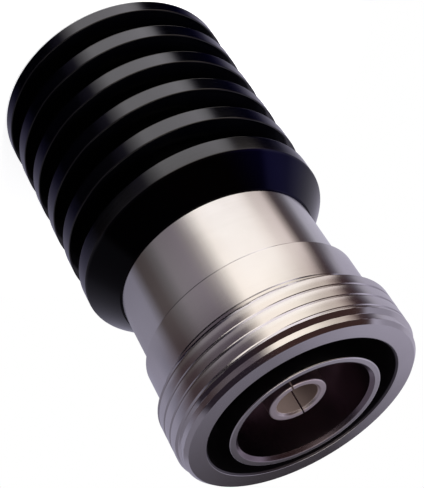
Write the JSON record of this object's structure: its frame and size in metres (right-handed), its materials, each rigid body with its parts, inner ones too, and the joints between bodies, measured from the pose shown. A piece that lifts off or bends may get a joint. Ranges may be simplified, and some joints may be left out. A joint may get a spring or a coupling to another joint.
{
  "type": "coaxial terminator",
  "caption": "Coaxial load: a large threaded socket connector in bright plating on a black ring-finned heat sink with a bevelled shoulder.",
  "frame": {"origin": "centre of the heat sink's flat back face", "axes": "+Z along the coaxial axis out of the connector's open end; one slot of the centre socket lies near -Y"},
  "size_m": [0.031, 0.031, 0.0545],
  "materials": {
    "black_anodised": "satin black anodised, turned",
    "bright_plated_brass": "bright nickel-like plating over fine turning marks",
    "silver_plated_brass": "silver plated, turned",
    "silver_plated_bronze": "silver plated, turned",
    "dark_insulator": "smooth dark brown polymer",
    "resistor_film_ceramic": "dark matt resistive film on ceramic",
    "tinned_cap": "dull tin plating",
    "spring_steel": "oiled spring steel",
    "seal_rubber": "matt black rubber"
  },
  "bodies": {
    "root": {"heat_sink": "black_anodised", "load_body": "bright_plated_brass", "connector_shell": "bright_plated_brass", "outer_contact_sleeve": "silver_plated_brass", "centre_socket": "silver_plated_bronze", "insulator_bead": "dark_insulator", "bead_clamp_ring": "bright_plated_brass", "resistor_contact": "silver_plated_bronze", "resistor_rod": "resistor_film_ceramic", "front_end_cap": "tinned_cap", "rear_end_cap": "tinned_cap", "taper_liner": "silver_plated_brass", "ground_collet": "silver_plated_bronze", "disc_spring": "spring_steel", "joint_seal": "seal_rubber", "sink_seal": "seal_rubber"}
  },
  "joints": []
}
